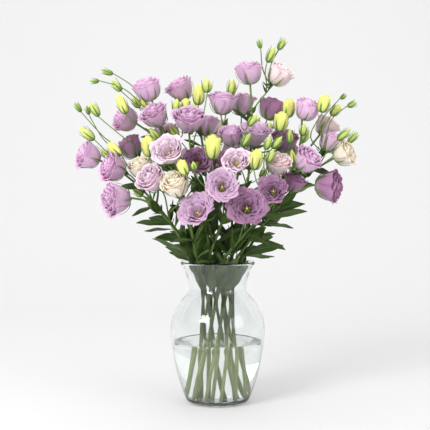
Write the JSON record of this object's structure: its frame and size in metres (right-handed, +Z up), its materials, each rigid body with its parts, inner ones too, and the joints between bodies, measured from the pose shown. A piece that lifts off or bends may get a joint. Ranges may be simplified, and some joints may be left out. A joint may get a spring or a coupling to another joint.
{
  "type": "lisianthus bouquet in a glass vase",
  "caption": "Bouquet of lisianthus with ruffled open blooms, buds and leaves, standing as a twisted bunch of cut stems in a clear glass ginger-jar vase with water.",
  "frame": {"origin": "centre of the vase's flat foot, where it stands on a surface", "axes": "+Z up along the vase's axis, -Y towards the front of the bouquet, +X to its right"},
  "size_m": [0.4257, 0.2672, 0.5463],
  "materials": {
    "vase_glass": "clear polished glass",
    "clear_water": "clear still water",
    "stem_and_leaf_green": "soft grey-green bloom, matte",
    "petal_lilac": "soft matte petal",
    "petal_mauve": "soft matte petal",
    "petal_pink": "soft matte petal",
    "petal_blush": "soft matte petal",
    "petal_cream": "soft matte petal"
  },
  "bodies": {
    "root": {"bloom_01": "petal_lilac", "bloom_02": "petal_lilac", "bloom_03": "petal_lilac", "bloom_04": "petal_lilac", "bloom_05": "petal_lilac", "bloom_06": "petal_lilac", "bloom_07": "petal_lilac", "bloom_08": "petal_mauve", "bloom_09": "petal_lilac", "bloom_10": "petal_blush", "bloom_11": "petal_lilac", "bloom_12": "petal_blush", "bloom_13": "petal_lilac", "bloom_14": "petal_cream", "bloom_15": "petal_lilac", "bloom_16": "petal_mauve", "bloom_17": "petal_blush", "bloom_18": "petal_pink", "bloom_19": "petal_lilac", "bloom_20": "petal_mauve", "bloom_21": "petal_mauve", "bloom_22": "petal_lilac", "bloom_23": "petal_mauve", "bloom_24": "petal_pink", "bloom_25": "petal_pink", "bloom_26": "petal_cream", "bloom_27": "petal_cream", "bloom_28": "petal_lilac", "bloom_29": "petal_lilac", "bloom_30": "petal_lilac", "bloom_31": "petal_mauve", "bloom_32": "petal_lilac", "bloom_33": "petal_lilac", "bloom_34": "petal_lilac", "bloom_35": "petal_mauve", "bloom_36": "petal_mauve", "bloom_37": "petal_mauve", "bloom_38": "petal_lilac", "bloom_39": "petal_lilac", "bloom_40": "petal_pink", "bloom_41": "petal_mauve", "bloom_42": "petal_blush", "stem_back_centre": "stem_and_leaf_green", "stem_back_left": "stem_and_leaf_green", "stem_centre": "stem_and_leaf_green", "stem_front_centre": "stem_and_leaf_green", "stem_front_left": "stem_and_leaf_green", "stem_front_right": "stem_and_leaf_green", "stem_left_high": "stem_and_leaf_green", "stem_left_low": "stem_and_leaf_green", "stem_left_mid": "stem_and_leaf_green", "stem_right_high": "stem_and_leaf_green", "stem_right_low": "stem_and_leaf_green", "stem_right_mid": "stem_and_leaf_green", "stem_right_upper": "stem_and_leaf_green", "stem_top": "stem_and_leaf_green", "stem_upper_centre": "stem_and_leaf_green", "stem_upper_left": "stem_and_leaf_green", "vase": "vase_glass", "water": "clear_water"}
  },
  "joints": []
}
